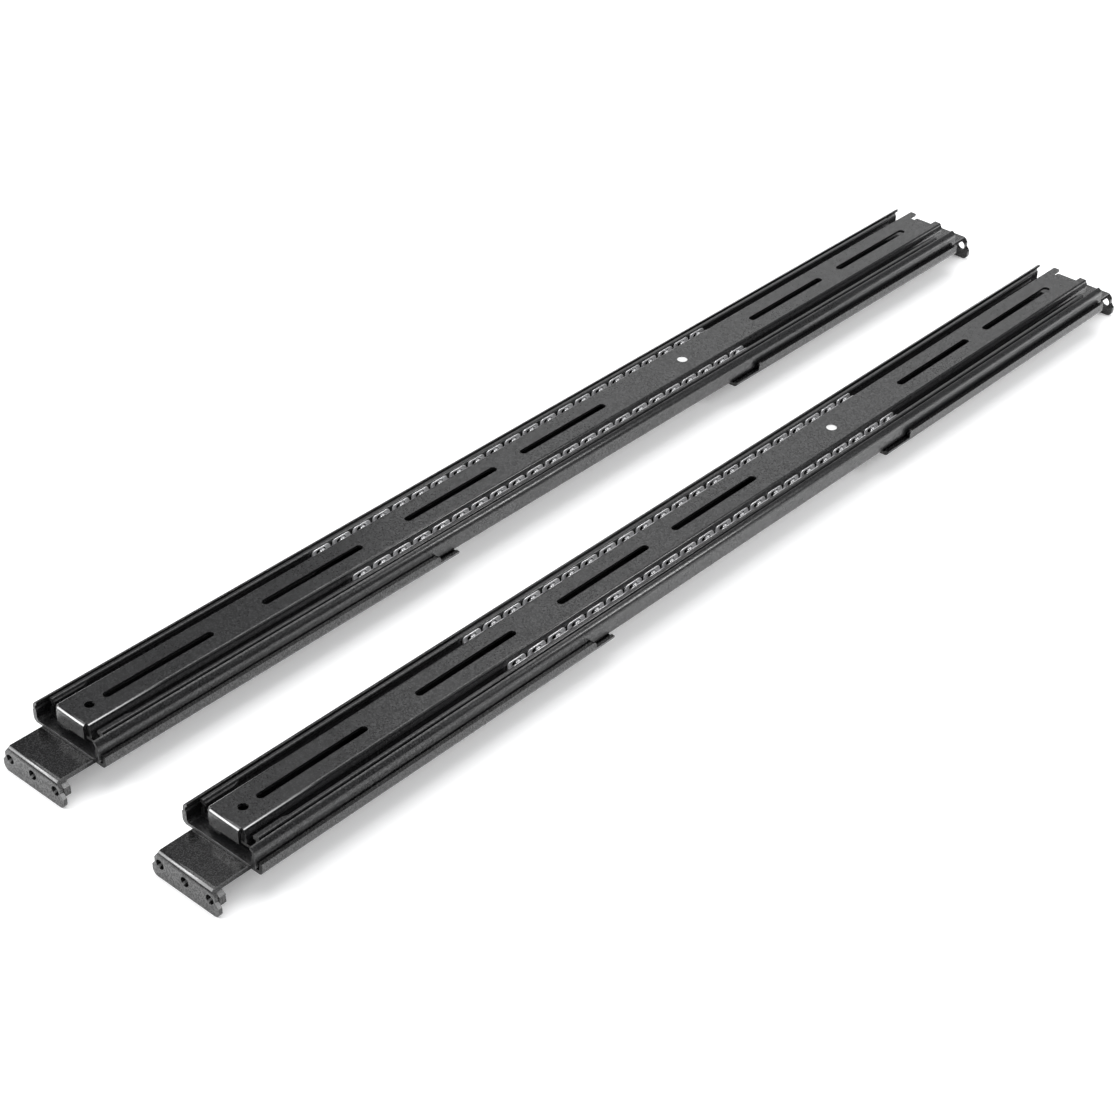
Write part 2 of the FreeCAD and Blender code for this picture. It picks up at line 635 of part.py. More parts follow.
def with_weld_nuts(front_bracket):
    """Adds a hexagon nut behind each hole of the flange, welded on and bored to its thread."""
    back = FRONT - FLANGE_REACH + BRACKET_SHEET
    corner = WELD_NUT_HEX / math.sqrt(3)
    nuts = []
    for i in (-1, 0, 1):
        ring = [FreeCAD.Vector(
            i * RACK_HOLE_PITCH + corner * math.sin(math.radians(60 * k)), back,
            RACK_HOLE_HEIGHT + corner * math.cos(math.radians(60 * k))) for k in range(7)]
        nut = Part.Face(Part.makePolygon(ring)).extrude(FreeCAD.Vector(0, WELD_NUT_LENGTH, 0))
        bore = Part.makeCylinder(
            NUT_THREAD_RADIUS, 3 * WELD_NUT_LENGTH,
            FreeCAD.Vector(i * RACK_HOLE_PITCH, back - WELD_NUT_LENGTH, RACK_HOLE_HEIGHT),
            FreeCAD.Vector(0, 1, 0))
        nuts.append(nut.cut(bore))
    return front_bracket.fuse(nuts).removeSplitter()


# ---- Clamps --------------------------------------------------------------------------------

def clamp_studs(places):
    """Studs pressed into the outer member's web, flush with its inside."""
    tip = BRACKET_BOTTOM - CLAMP_NUT_HEIGHT - STUD_TIP
    return Part.Compound([
        prism(0, y, tip, SEAT + OUTER_SHEET, STUD_RADIUS, ROD_SIDES) for y in places])


def clamp_nuts(places):
    """Hexagon nuts that hold the bracket up against the outer member."""
    nuts = []
    bottom = BRACKET_BOTTOM - CLAMP_NUT_HEIGHT
    for y in places:
        body = prism(0, y, bottom, BRACKET_BOTTOM, CLAMP_NUT_HEX / math.sqrt(3), 6)
        thread = prism(
            0, y, bottom - 1, BRACKET_BOTTOM + 1, STUD_RADIUS + THREAD_GAP, ROD_SIDES)
        nuts.append(body.cut(thread))
    return Part.Compound(nuts)


# ---- Assembly ------------------------------------------------------------------------------

def raised(shape):
    """Lifts a piece that was drawn on the seat of the outer member."""
    shape.translate(FreeCAD.Vector(0, 0, SEAT))
    return shape


def rail():
    """Every piece of one rail, centred on X = 0."""
    front, rear = stud_places()
    front_bracket = bracket(
        FRONT_WALL_LENGTH, FRONT_TONGUE_LENGTH, FRONT_ADJUST, NUT_THREAD_RADIUS)
    rear_bracket = bracket(REAR_WALL_LENGTH, REAR_TONGUE_LENGTH, REAR_ADJUST, REAR_HOLE_RADIUS)
    return {
        "outer_member": raised(outer_member()),
        "middle_member": raised(middle_member()),
        "inner_member": raised(inner_member()),
        "latch_rivet": raised(latch_rivet()),
        "latch_spring": raised(latch_spring()),
        "outer_retainers": raised(Part.Compound([outer_retainer(side) for side in SIDES])),
        "outer_balls": raised(ball_rows(
            OUTER_BALL_X, OUTER_BALL_Z, OUTER_BALL_RADIUS, outer_ball_places())),
        "inner_retainers": raised(Part.Compound([inner_retainer(side) for side in SIDES])),
        "inner_balls": raised(ball_rows(
            INNER_BALL_X, INNER_BALL_Z, INNER_BALL_RADIUS, inner_ball_places())),
        "front_bracket": with_weld_nuts(front_bracket),
        "rear_bracket": turned_end_for_end(rear_bracket),
        "clamp_studs": clamp_studs(front + rear),
        "clamp_nuts": clamp_nuts(front + rear),
    }


os.makedirs("parts", exist_ok=True)
pieces = rail()
for name, side in (("left", -1), ("right", 1)):
    for node, shape in pieces.items():
        placed = shape.copy()
        placed.translate(FreeCAD.Vector(side * RAIL_PITCH / 2, 0, 0))
        placed.exportStep(f"parts/{name}_{node}.step")
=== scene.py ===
# %% [markdown]
# # A pair of black server rails
#
# Two telescopic ball-bearing rails lie side by side on a white table, closed, with a folded
# bracket and a flange at each end.  The steel sections come from the CAD frame.  This notebook
# gives them their finishes, and builds what is too fine for the frame: the sheet retainers that
# carry the balls, the round balls, the rivet heads and the threads.
#
# Lengths are in metres.  X runs across the rails, Y from front to back and Z up.

import json
import math

import bpy
import numpy as np
from mathutils import Matrix, Vector

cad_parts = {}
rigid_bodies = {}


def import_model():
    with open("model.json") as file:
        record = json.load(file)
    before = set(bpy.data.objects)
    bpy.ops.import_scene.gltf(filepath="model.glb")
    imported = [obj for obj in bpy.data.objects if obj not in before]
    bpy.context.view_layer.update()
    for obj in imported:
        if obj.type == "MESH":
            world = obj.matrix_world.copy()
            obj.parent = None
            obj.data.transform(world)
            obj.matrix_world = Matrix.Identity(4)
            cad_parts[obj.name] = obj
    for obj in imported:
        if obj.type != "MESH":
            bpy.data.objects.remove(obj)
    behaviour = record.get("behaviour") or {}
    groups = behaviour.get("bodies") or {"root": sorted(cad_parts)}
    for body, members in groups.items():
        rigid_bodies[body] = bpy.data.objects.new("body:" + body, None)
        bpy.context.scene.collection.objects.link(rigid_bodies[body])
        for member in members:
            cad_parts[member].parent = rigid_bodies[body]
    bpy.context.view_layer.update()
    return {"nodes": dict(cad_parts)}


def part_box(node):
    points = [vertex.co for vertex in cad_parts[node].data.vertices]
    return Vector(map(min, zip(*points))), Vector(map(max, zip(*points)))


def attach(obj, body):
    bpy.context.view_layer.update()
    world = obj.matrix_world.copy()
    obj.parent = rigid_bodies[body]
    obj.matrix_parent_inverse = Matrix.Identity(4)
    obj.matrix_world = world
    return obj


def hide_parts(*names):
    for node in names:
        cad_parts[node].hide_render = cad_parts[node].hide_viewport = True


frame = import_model()
nodes = frame["nodes"]
MM = 0.001
SIDES = {"left": -1, "right": 1}

# %% [markdown]
# ## Measuring the frame
#
# Everything built later has to sit on the CAD parts, so its places are read from them and not
# typed in.  `box` gives the two corners of a whole node, which is enough for a single rivet.  A
# row of balls or studs is one node with many solids, so its mesh is first sorted into islands:
# points that share a face belong together, and each island has a box of its own.

# %% Places read from the frame


def islands(node):
    """Lowest and highest corner of each separate solid of a CAD node, in order along Y."""
    mesh = nodes[node].data
    points = np.array([v.co for v in mesh.vertices])
    keys = {}
    label = np.array([keys.setdefault(tuple(np.round(p / MM, 3)), len(keys)) for p in points])
    parent = list(range(len(keys)))

    def root(i):
        """The point that stands for the whole solid that point i belongs to."""
        while parent[i] != i:
            parent[i] = parent[parent[i]]
            i = parent[i]
        return i

    for face in mesh.polygons:
        first = root(label[face.vertices[0]])
        for vertex in face.vertices[1:]:
            parent[root(label[vertex])] = first
    groups = {}
    for i, point in enumerate(points):
        groups.setdefault(root(label[i]), []).append(point)
    boxes = [(np.min(g, axis=0), np.max(g, axis=0)) for g in groups.values()]
    return sorted(boxes, key=lambda b: (b[0][1] + b[1][1], b[0][0]))


def ball_places(node):
    """Centre and radius of each ball, from the solids that stand for the balls."""
    boxes = islands(node)
    reach = max(b[1][1] - b[0][1] for b in boxes)
    golden = (1 + math.sqrt(5)) / 2       # sets how far a twenty-sided solid's corners reach
    radius = reach / 2 * math.hypot(1, golden) / golden
    return [(b[0] + b[1]) / 2 for b in boxes], radius


inner_balls = {side: ball_places(f"{side}_inner_balls") for side in SIDES}
outer_balls = {side: ball_places(f"{side}_outer_balls") for side in SIDES}
for side in SIDES:
    places, radius = inner_balls[side]
    print(side, len(places), "inner balls of radius", round(radius / MM, 2), "mm")

# %% [markdown]
# ## Surfaces from arrays
#
# A surface here is a grid of points: an array with rows, columns and three coordinates.  Edit
# mode could build the same shapes by hand, but an array can be worked out by a formula and
# changed by one number.  Small helpers join neighbouring points into four-sided faces, shift a
# grid to its place and turn a list of grids into one mesh object, which then rides on the body
# that carries it.

# %% Grids to meshes


def grid_faces(rows, columns, wrap_rows=False, wrap_columns=False):
    """Faces between neighbours (i, j) and (i + 1, j + 1); a wrapped grid also joins its ends."""
    i = np.arange(rows if wrap_rows else rows - 1)[:, None]
    j = np.arange(columns if wrap_columns else columns - 1)[None, :]
    k, m = (i + 1) % rows, (j + 1) % columns
    corners = (i * columns + j, i * columns + m, k * columns + m, k * columns + j)
    return np.stack([c + 0 * (i + j) for c in corners], axis=-1).reshape(-1, 4)


def make_piece(name, patches, body, sharp=40.0):
    """One object from patches of (points, faces), smooth except at edges sharper than sharp."""
    points, faces, base = [], [], 0
    for patch_points, patch_faces in patches:
        flat = np.asarray(patch_points).reshape(-1, 3)
        points.append(flat)
        faces.append(patch_faces + base)
        base += len(flat)
    points, faces = np.concatenate(points), np.concatenate(faces)
    mesh = bpy.data.meshes.new(name)
    mesh.from_pydata(points.tolist(), [], faces.tolist())
    mesh.polygons.foreach_set("use_smooth", np.ones(len(mesh.polygons), bool))
    mesh.set_sharp_from_angle(angle=math.radians(sharp))
    mesh.update()
    piece = bpy.data.objects.new(name, mesh)
    bpy.context.scene.collection.objects.link(piece)
    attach(piece, body)
    return piece


def moved(points, place):
    """The same points, shifted to a place."""
    return points + np.asarray(place)


print("a grid of 3 by 4 points has", len(grid_faces(3, 4)), "faces")
# %% [markdown]
# ## The balls
#
# Hardened steel balls carry each member inside the next.  The frame holds each ball as a solid
# with flat sides, which would glint in facets.  A smooth one is the usual sphere: a turn angle
# round it and a tilt angle from pole to pole give every point.  A few dozen faces are enough for
# something this small, since smooth shading rounds the rest.

# %% Smooth balls
POLE_GAP = 0.02               # tilt of the first ring from the pole, in radians


def sphere(radius, turns=20, tilts=11):
    """radius * (cos t sin f, sin t sin f, cos f), with t round the ball and f from pole to pole."""
    t = np.linspace(0, 2 * np.pi, turns, endpoint=False)[None, :]
    f = np.linspace(POLE_GAP, np.pi - POLE_GAP, tilts)[:, None]
    ring = np.sin(f)
    points = np.stack([np.cos(t) * ring, np.sin(t) * ring, np.cos(f) + 0 * t], axis=-1)
    return radius * points, grid_faces(tilts, turns, wrap_columns=True)


for side in SIDES:
    for row, found in (("inner", inner_balls), ("outer", outer_balls)):
        places, radius = found[side]
        points, faces = sphere(radius)
        patches = [(moved(points, place), faces) for place in places]
        balls = make_piece(
            f"{side}_{row}_steel_balls", patches, f"{side}_{row}_ball_rows")
        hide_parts(f"{side}_{row}_balls")
        print(balls.name, len(balls.data.polygons), "faces")

# %% [markdown]
# ## The ball retainers
#
# A retainer keeps its balls evenly spaced.  Each inner one is a strip of bright sheet with a
# pair of upright tabs at every ball.  A tab has rounded upper corners and an oval window that
# the ball looks through.  Cutting the window with a Boolean would leave ragged faces, so the tab
# is a ring of quads between two closed curves that share their angles: the window and the
# outline.  A Solidify modifier then gives the sheet its thickness.

# %% The shape of a tab
TAB_LENGTH = 12.2 * MM        # of one tab along the rail
TAB_RISE = 2.15 * MM          # its top above the line of the balls
TAB_CORNER = 2.1 * MM         # radius of its upper corners
TAB_HALF_GAP = 1.62 * MM      # its foot from the line of the balls
TAB_LEAN = 0.34 * MM          # how far its foot leans in towards the balls
WINDOW = (3.1 * MM, 1.30 * MM)  # half of its length and half of its height
WINDOW_POWER = 2.6            # 2 gives an ellipse, and more gives squarer corners


def superellipse(angle, half_length, half_height, power=WINDOW_POWER):
    """Radius r with |r cos a / half_length|^n + |r sin a / half_height|^n = 1."""
    terms = (np.abs(np.cos(angle) / half_length) ** power
             + np.abs(np.sin(angle) / half_height) ** power)
    return terms ** (-1 / power)


def tab_radius(angle, below):
    """Where a ray from the ball leaves the tab: a box whose two upper corners are round."""
    direction = np.stack([np.cos(angle), np.sin(angle)], axis=-1)
    half = TAB_LENGTH / 2
    end = np.where(direction[:, 1] > 0, TAB_RISE, below)
    reach = np.minimum(half / np.abs(direction[:, 0]), end / np.abs(direction[:, 1]))
    centre = np.stack([np.sign(direction[:, 0]) * (half - TAB_CORNER),
                       np.full(len(angle), TAB_RISE - TAB_CORNER)], axis=-1)
    along = np.sum(direction * centre, axis=-1)
    off = np.sum(centre**2, axis=-1) - along**2
    on_arc = along + np.sqrt(np.maximum(TAB_CORNER**2 - off, 0))
    y, z = (direction * reach[:, None]).T
    beyond = (np.abs(y) > half - TAB_CORNER) & (z > TAB_RISE - TAB_CORNER)
    return np.where(beyond, on_arc, reach)


def tab(below, rings=4, steps=48):
    """Radius (1 - t) * window + t * outline at each angle; the tab leans by its height."""
    angle = (np.arange(steps) + 0.5) * 2 * np.pi / steps
    t = np.linspace(0, 1, rings)[:, None]
    radius = (1 - t) * superellipse(angle, *WINDOW) + t * tab_radius(angle, below)
    y, z = radius * np.cos(angle), radius * np.sin(angle)
    x = TAB_HALF_GAP - TAB_LEAN * (1 - (z + below) / (TAB_RISE + below)) ** 2
    return np.stack([x, y, z], axis=-1), grid_faces(rings, steps, wrap_columns=True)


print("a tab is", round(TAB_LENGTH / MM, 1), "mm long for a window of",
      round(2 * WINDOW[0] / MM, 1), "mm")

# %% Retainer strips
SHEET = 0.44 * MM
STRIP_ROWS, STRIP_COLUMNS = 60, 5

for side in SIDES:
    places = inner_balls[side][0]
    lowest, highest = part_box(f"{side}_inner_retainers")
    floor = lowest.z + SHEET / 2 - places[0][2]      # of the strip, from the line of the balls
    wall, wall_faces = tab(-floor)
    patches = []
    for place in places:
        for hand in (-1, 1):
            patches.append((moved(wall * (hand, 1, 1), place), wall_faces[:, ::hand]))
    for x in sorted({round(place[0], 5) for place in places}):
        foot = TAB_HALF_GAP - TAB_LEAN
        across = np.linspace(-foot, foot, STRIP_COLUMNS)[None, :]
        along = np.linspace(lowest.y, highest.y, STRIP_ROWS)[:, None]
        strip = np.stack([x + across + 0 * along, along + 0 * across,
                          places[0][2] + floor + 0 * (across + along)], axis=-1)
        patches.append((strip, grid_faces(STRIP_ROWS, STRIP_COLUMNS)))
    retainer = make_piece(
        f"{side}_inner_sheet_retainers", patches, f"{side}_inner_ball_rows")
    thickness = retainer.modifiers.new("Sheet", "SOLIDIFY")
    thickness.thickness = SHEET
    thickness.offset = 0
    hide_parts(f"{side}_inner_retainers")
    print(retainer.name, len(retainer.data.polygons), "faces for", len(places), "balls")

# %% [markdown]
# ## Turned pieces: rivets, studs and nuts
#
# A turned piece is a profile of radius against height, carried round an axis.  A Screw modifier
# could do that too, but letting the radius depend on the turn angle gives more: a thread is a
# radius that rises and falls along a helix, and a hexagon is a radius that grows towards six
# corners.

# %% Turning a profile
AXIS_GAP = 0.02 * MM          # radius of the first and last ring, next to the axis


def turned(profile, steps=36, radius_at=None):
    """Points (r cos t, r sin t, z) for each (r, z) of the profile; radius_at changes r."""
    r, z = np.asarray(profile, float).T
    t = np.linspace(0, 2 * np.pi, steps, endpoint=False)[None, :]
    radius = r[:, None] + 0 * t
    if radius_at:
        radius = radius_at(radius, t, z[:, None])
    points = np.stack([radius * np.cos(t), radius * np.sin(t), z[:, None] + 0 * t], axis=-1)
    return points, grid_faces(len(r), steps, wrap_columns=True)


def threaded(pitch, depth):
    """Radius less a triangle wave of the height, shifted by one pitch each turn."""
    def radius_at(radius, t, z):
        phase = (z / pitch - t / (2 * np.pi)) % 1
        return radius - depth * np.abs(2 * phase - 1)
    return radius_at


CONE_START = 0.97             # radius of the cone at an end face, over half the flats
CONE_SLOPE = 1.6              # how fast the cone widens with the distance from the end face
BORE_LIMIT = 0.9              # what is narrower than this share of half the flats is bore


def hexagonal(across_flats, bottom, top):
    """Half the flats over cos t inside each sixth of a turn; a cone cuts off the corners.

    The cone starts a little inside the flats at the bottom and the top, and widens with the
    distance from there.  Points of the bore, which lie well inside the flats, are left alone.
    """
    half = across_flats / 2

    def radius_at(radius, t, z):
        flat = half / np.cos((t + np.pi / 6) % (np.pi / 3) - np.pi / 6)
        inside = np.minimum(z - bottom, top - z)
        cone = half * CONE_START + CONE_SLOPE * np.maximum(inside, 0)
        return np.where(radius > half * BORE_LIMIT, np.minimum(flat, cone), radius)
    return radius_at


print("a hexagon 8 mm across its flats is", round(8 / math.cos(math.pi / 6), 2),
      "mm across its corners")

# %% [markdown]
# A rivet holds the latch spring under the inner member.  Its flush head is the bright dot on the
# flat top.  It is turned in one piece, from the tail below the spring, up the shank and over the
# head, which has a shallow ripple left by the riveting tool.

# %% Rivets
TAIL_HEIGHT = 0.5 * MM        # head on the underside of the leaf spring
RIM_DROP = 0.16 * MM          # edge of the flush head, below its middle
TAIL_POINT = 0.8              # of the head's radius, at the bottom of the tail
SHANK = 0.55                  # of the head's radius
RIPPLE = 0.5                  # of the rim's drop

for side in SIDES:
    lowest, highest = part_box(f"{side}_latch_rivet")
    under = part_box(f"{side}_latch_spring")[1].z
    x, y = (lowest.x + highest.x) / 2, (lowest.y + highest.y) / 2
    head, tail_top = (highest.x - lowest.x) / 2, lowest.z + TAIL_HEIGHT
    profile = [(AXIS_GAP, lowest.z), (TAIL_POINT * head, lowest.z), (head, tail_top)]
    profile += [(SHANK * head, tail_top), (SHANK * head, under), (head, under)]
    profile += [(head * r, highest.z - RIM_DROP * (r ** 6 + RIPPLE * math.sin(6 * r) ** 2))
                for r in np.linspace(1, 0.01, 14)]
    points, faces = turned(profile)
    rivet = make_piece(
        f"{side}_rivet", [(moved(points, (x, y, 0)), faces)], f"{side}_inner")
    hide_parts(f"{side}_latch_rivet")
    print(rivet.name, "has a head", round(2 * head / MM, 1), "mm across")

# %% [markdown]
# The clamp studs reach down from the rail through the slot of a bracket, and a nut on each
# holds the bracket up.  Both are read from the frame and made again, the studs with their
# threads and the nuts with their chamfered corners.  One long grid follows the thread, with six
# rings to a pitch, and a plain one closes the shank above it.

# %% Threaded studs
THREAD_PITCH = 0.8 * MM
THREAD_DEPTH = 0.42 * MM
RINGS_PER_PITCH = 6
CHAMFER = 0.5 * MM
PLAIN_LENGTH = 2 * MM         # of the shank above the thread
TIP_SCALE = 0.999             # makes the cut-off tip a hair narrower
STUD_STEPS = 24


def threaded_studs(side):
    """A cut-off tip, a thread and a plain shank for each stud, made as one piece."""
    patches = []
    for lowest, highest in islands(f"{side}_clamp_studs"):
        radius, axis = (highest[1] - lowest[1]) / 2, (lowest + highest) / 2
        heights = np.arange(lowest[2] + CHAMFER, highest[2] - PLAIN_LENGTH,
                            THREAD_PITCH / RINGS_PER_PITCH)
        profile = [(AXIS_GAP, lowest[2]), (radius - CHAMFER, lowest[2])]
        profile += [(radius, z) for z in heights]
        points, faces = turned(profile, STUD_STEPS, threaded(THREAD_PITCH, THREAD_DEPTH))
        points[:2, :, :2] *= TIP_SCALE
        patches.append((moved(points, (axis[0], axis[1], 0)), faces))
        shank = [(radius, heights[-1]), (radius, highest[2]), (AXIS_GAP, highest[2])]
        points, faces = turned(shank, STUD_STEPS)
        patches.append((moved(points, (axis[0], axis[1], 0)), faces))
    studs = make_piece(f"{side}_threaded_studs", patches, "rails", 60)
    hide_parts(f"{side}_clamp_studs")
    return studs


print("thread of", round(THREAD_PITCH / MM, 2), "mm pitch")

# %% Hexagon nuts
NUT_BORE = 2.53 * MM          # radius, just clear of the stud
NUT_STEPS = 48


def hexagon_nuts(side):
    """A hexagon with a hole for each clamp nut; a lining inside the flats joins its two rims."""
    patches = []
    for lowest, highest in islands(f"{side}_clamp_nuts"):
        flats, axis = highest[1] - lowest[1], (lowest + highest) / 2
        bottom, top, corner = lowest[2], highest[2], flats / math.sqrt(3)
        levels = [bottom, bottom + 0.3 * CHAMFER, bottom + CHAMFER, top - CHAMFER, top]
        profile = [(NUT_BORE, bottom)] + [(corner, z) for z in levels] + [(NUT_BORE, top)]
        points, faces = turned(profile, NUT_STEPS, hexagonal(flats, bottom, top))
        upper_rim = np.array([0, 0, 1, 1]) * (len(profile) - 2) * NUT_STEPS
        lining = grid_faces(2, NUT_STEPS, wrap_columns=True)[:, ::-1] + upper_rim
        patches.append((moved(points, (axis[0], axis[1], 0)), np.concatenate([faces, lining])))
    nuts = make_piece(f"{side}_hexagon_nuts", patches, "rails", 25)
    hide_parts(f"{side}_clamp_nuts")
    return nuts


for side in SIDES:
    studs, nuts = threaded_studs(side), hexagon_nuts(side)
    print(studs.name, len(studs.data.polygons), nuts.name, len(nuts.data.polygons))

# %% [markdown]
# ## Softening the sheet-metal edges
#
# Sheared and folded sheet never has perfectly sharp edges, and a bright line along an edge is
# what tells the eye that it is steel.  The frame's own mesh stays as it is, so the edges are
# softened by modifiers.  A weld modifier joins the points that the frame keeps apart, and a
# narrow bevel then catches the light wherever two faces meet at more than a small angle.

# %% Bevels on the frame
EDGE_WIDTHS = {"outer_member": 0.22, "middle_member": 0.18, "inner_member": 0.22,
               "front_bracket": 0.25, "rear_bracket": 0.25, "latch_spring": 0.1}   # in mm
WELD_DISTANCE = 0.004 * MM
SHARPER_THAN = math.radians(35)

for side in SIDES:
    for piece, width in EDGE_WIDTHS.items():
        target = nodes[f"{side}_{piece}"]
        weld = target.modifiers.new("Weld", "WELD")
        weld.merge_threshold = WELD_DISTANCE
        bevel = target.modifiers.new("Edges", "BEVEL")
        bevel.width = width * MM
        bevel.segments = 2
        bevel.limit_method = "ANGLE"
        bevel.angle_limit = SHARPER_THAN
        bevel.harden_normals = True
print("bevelled", 2 * len(EDGE_WIDTHS), "sheet-metal parts")

# %% [markdown]
# ## Writing shaders as sums
#
# A finish like this takes dozens of shader nodes, which are easier to read as formulas than as
# a picture of wires.  `Value` wraps the output of a node, so `1 - a * b` adds the two maths
# nodes for it, and one method of `Shader` adds every other kind of node.

# %% A small class for shader maths


class Value:
    """The output of a shader node, with the arithmetic of numbers."""

    def __init__(self, shader, socket):
        self.shader, self.socket = shader, socket

    def combine(self, operation, *others):
        """A Math node with this value first."""
        return self.shader.maths(operation, self, *others)

    def __add__(self, other):
        return self.combine("ADD", other)

    def __sub__(self, other):
        return self.combine("SUBTRACT", other)

    def __rsub__(self, other):
        return self.shader.maths("SUBTRACT", other, self)

    def __mul__(self, other):
        return self.combine("MULTIPLY", other)

    def __truediv__(self, other):
        return self.combine("DIVIDE", other)

    def __rtruediv__(self, other):
        return self.shader.maths("DIVIDE", other, self)

    __radd__, __rmul__ = __add__, __mul__

    def above(self, edge, width):
        """0 below the edge, 1 above it, with a soft step of the given width between."""
        step = (self - edge) / width + 0.5
        return step.combine("MAXIMUM", 0.0).combine("MINIMUM", 1.0)


HALF_UP = 0.74                # Z of the normal in the middle of a rounded upper edge


class Shader:
    """A material that is filled in by formulas."""

    def __init__(self, name):
        self.material = bpy.data.materials.new(name)
        self.material.use_nodes = True
        self.tree = self.material.node_tree
        self.surface = self.tree.nodes["Principled BSDF"]

    def node(self, kind, output, inputs, **settings):
        """Adds a node, sets it up, links or sets its inputs and returns one of its outputs."""
        node = self.tree.nodes.new(kind)
        for key, value in settings.items():
            setattr(node, key, value)
        for key, value in inputs.items():
            if isinstance(value, Value):
                self.tree.links.new(value.socket, node.inputs[key])
            else:
                node.inputs[key].default_value = value
        return Value(self, node.outputs[output])

    def maths(self, operation, *values):
        return self.node("ShaderNodeMath", 0, dict(enumerate(values)), operation=operation)

    def place(self):
        """Where a point lies on its object, in metres."""
        return self.node("ShaderNodeTexCoord", "Object", {})

    def along(self, axis, vector=None):
        """One coordinate of the place, or of another vector."""
        return self.node("ShaderNodeSeparateXYZ", axis, {0: vector or self.place()})

    def painted_edge_highlight(self, full_until, fade):
        """Painted highlight mask: 1 where a rounded edge faces half up near the front, fading out
        along Y.
        """
        facing = self.node("ShaderNodeTexCoord", "Normal", {})
        off = (self.along("Z", facing) - HALF_UP).combine("ABSOLUTE")
        rounded = 1 - off.above(0.13, 0.10)
        return rounded * (1 - self.along("Y").above(full_until + fade / 2, fade))

    def noise(self, size, detail=3.0, stretch=None):
        """Noise whose grains are about size across, drawn out along the rail by stretch."""
        where = self.place()
        if stretch:
            where = self.node("ShaderNodeMapping", 0, {"Vector": where, "Scale": stretch})
        return self.node("ShaderNodeTexNoise", 0,
                         {"Vector": where, "Scale": 1 / size, "Detail": detail})

    def mix(self, share, first, second):
        """The first colour where share is 0, the second where it is 1."""
        first, second = ((*c, 1) if isinstance(c, tuple) else c for c in (first, second))
        return self.node("ShaderNodeMix", 2, {0: share, 6: first, 7: second}, data_type="RGBA")

    def bump(self, height, depth):
        """A skin that rises by depth as height goes from 0 to 1."""
        return self.node("ShaderNodeBump", 0, {"Height": height, "Distance": depth})

    def finish(self, **inputs):
        """Feeds the surface: formulas are linked, and plain numbers are set."""
        for key, value in inputs.items():
            socket = self.surface.inputs[key.replace("_", " ")]
            if isinstance(value, Value):
                self.tree.links.new(value.socket, socket)
            else:
                socket.default_value = value
        return self.material


# %% [markdown]
# ## Finishes
#
# The steel has a satin black coating.  One dark colour would look like plastic, so it gets a
# fine grain: small pale specks, a faint change of tone over centimetres, thin lines along the
# rail from the drawing of the steel, and a skin that is not quite smooth.  A clear coat lies on
# the specks alone, so that they glint.  A band of painted shade darkens the top edges of the
# bracket walls, where the gap beside the outer member lies in shade, and rounded edges that
# face half up near the front get a painted highlight.

# %% Black coated steel
SPECK_SIZE, CLOUD_SIZE, DRAWN_SIZE = 0.70 * MM, 35 * MM, 1.2 * MM
DRAWN_OUT = (1, 0.05, 1)      # stretches a pattern twenty times along Y
DARK, PALE = 0.4, 7.0         # of the tone, between the specks and on them
SKIN_DEPTH = 0.030 * MM
# painted shade along the top of the bracket walls: its near-black tone and its depth below the top
PAINTED_SHADE_TONE, PAINTED_SHADE_BAND = (0.003, 0.003, 0.003), 0.12 * MM
# painted highlight on rounded front edges: full for this length from the front, then fading out
HIGHLIGHT_LENGTH, HIGHLIGHT_FADE = 8 * MM, 40 * MM
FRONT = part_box("left_outer_member")[0].y


def black_coat(name, tone, roughness=0.32, highlight_tone=0.0, edge_z=None):
    """Black coating; highlight_tone is a painted edge highlight's tone, edge_z the top of a painted
    shade band.
    """
    shader = Shader(name)
    speck = shader.noise(SPECK_SIZE, 1.5)
    cloud = shader.noise(CLOUD_SIZE, 2.0)
    drawn = shader.noise(DRAWN_SIZE, 2.0, stretch=DRAWN_OUT)
    share = speck.above(0.58, 0.12) * 0.7 + cloud * 0.20 + drawn * 0.10
    colour = shader.mix(share, tuple(c * DARK for c in tone), tuple(c * PALE for c in tone))
    # painted shade: the top of the bracket walls turns near black, standing for the shaded gap
    # beside the outer member
    if edge_z is not None:
        cut = shader.along("Z").above(edge_z - PAINTED_SHADE_BAND, 0.1 * MM)
        colour = shader.mix(cut, colour, PAINTED_SHADE_TONE)
    # painted highlight: rounded edges facing half up near the front take a pale tone in place of a
    # reflected light
    if highlight_tone:
        edge = shader.painted_edge_highlight(FRONT + HIGHLIGHT_LENGTH, HIGHLIGHT_FADE) * (speck * 0.5 + 0.65)
        colour = shader.mix(edge, colour, (highlight_tone, highlight_tone, highlight_tone))
    rough = speck * 0.24 + cloud * 0.10 + (roughness - 0.17)
    skin = speck * 0.8 + drawn * 0.2
    return shader.finish(
        Base_Color=colour, Roughness=rough, Normal=shader.bump(skin, SKIN_DEPTH),
        Coat_Weight=speck.above(0.50, 0.20) * 0.8, Coat_Roughness=0.14)


# the inner member gets a strong painted highlight along its rounded front edges
coat_inner = black_coat("Black coat, inner", (0.0036, 0.0036, 0.0038), highlight_tone=0.80)
coat_middle = black_coat("Black coat, middle", (0.0035, 0.0035, 0.0037))
coat_outer = black_coat("Black coat, outer", (0.0040, 0.0040, 0.0042))
# the bracket gets a fainter painted highlight on its front bends and a band of painted shade along
# its wall tops
coat_bracket = black_coat("Black coat, bracket", (0.0018, 0.0018, 0.0019), roughness=0.26,
                          highlight_tone=0.34, edge_z=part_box("left_front_bracket")[1].z)
print("black coats made")

